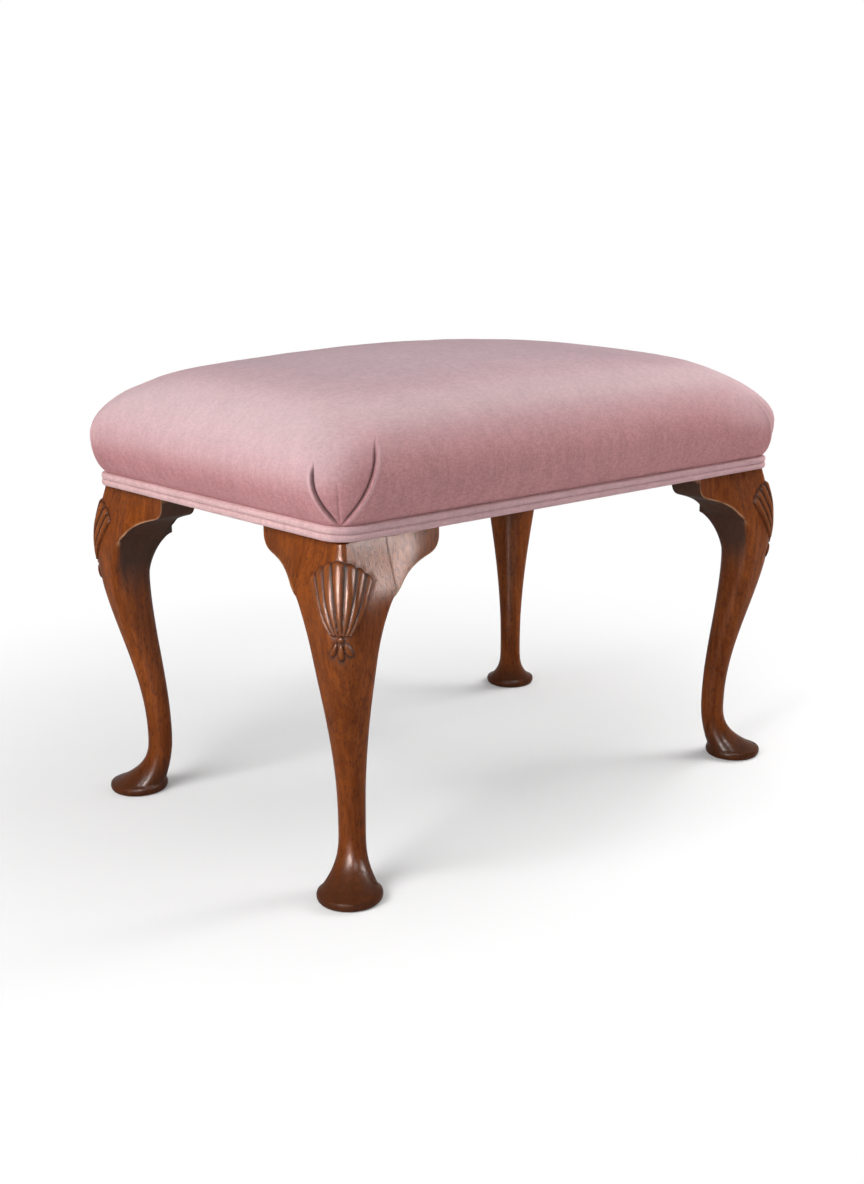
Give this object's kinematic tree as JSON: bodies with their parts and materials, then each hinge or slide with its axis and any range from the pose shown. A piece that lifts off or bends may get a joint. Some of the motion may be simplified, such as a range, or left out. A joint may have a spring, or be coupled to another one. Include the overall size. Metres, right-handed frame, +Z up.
{
  "type": "vanity stool",
  "caption": "Upholstered vanity stool: domed velvet seat with pleated corners and a double welt, on cabriole legs with shaped knee blocks and pad feet.",
  "frame": {"origin": "on the floor, under the middle of the seat", "axes": "+X along the long side, +Y along the short side towards the rear, +Z up"},
  "size_m": [0.645, 0.445, 0.486],
  "materials": {
    "polished_mahogany": "satin",
    "beech": "matte",
    "zinc_steel": "satin",
    "jute": "matte",
    "hessian": "matte",
    "foam": "matte",
    "wadding": "matte",
    "rose_velvet": "matte",
    "welt_velvet": "matte",
    "black_cambric": "matte"
  },
  "bodies": {
    "root": {"leg_front_left": "polished_mahogany", "leg_front_right": "polished_mahogany", "leg_rear_right": "polished_mahogany", "leg_rear_left": "polished_mahogany", "knee_block_front_left_on_front": "polished_mahogany", "knee_block_front_left_on_left": "polished_mahogany", "knee_block_front_right_on_front": "polished_mahogany", "knee_block_front_right_on_right": "polished_mahogany", "knee_block_rear_right_on_right": "polished_mahogany", "knee_block_rear_right_on_rear": "polished_mahogany", "knee_block_rear_left_on_rear": "polished_mahogany", "knee_block_rear_left_on_left": "polished_mahogany", "seat_rail_front": "beech", "seat_rail_right": "beech", "seat_rail_rear": "beech", "seat_rail_left": "beech", "corner_brace_front_left": "beech", "corner_brace_front_right": "beech", "corner_brace_rear_right": "beech", "corner_brace_rear_left": "beech", "brace_screw_front_left_to_front": "zinc_steel", "brace_screw_front_left_to_left": "zinc_steel", "brace_screw_front_right_to_front": "zinc_steel", "brace_screw_front_right_to_right": "zinc_steel", "brace_screw_rear_right_to_right": "zinc_steel", "brace_screw_rear_right_to_rear": "zinc_steel", "brace_screw_rear_left_to_rear": "zinc_steel", "brace_screw_rear_left_to_left": "zinc_steel", "webbing_lengthways_1": "jute", "webbing_lengthways_2": "jute", "webbing_lengthways_3": "jute", "webbing_lengthways_4": "jute", "webbing_crossways_1": "jute", "webbing_crossways_2": "jute", "webbing_crossways_3": "jute", "webbing_crossways_4": "jute", "webbing_crossways_5": "jute", "webbing_crossways_6": "jute", "hessian_sheet": "hessian", "seat_foam": "foam", "wadding": "wadding", "seat_cover": "rose_velvet", "double_welt": "welt_velvet", "dust_cover": "black_cambric"}
  },
  "joints": []
}
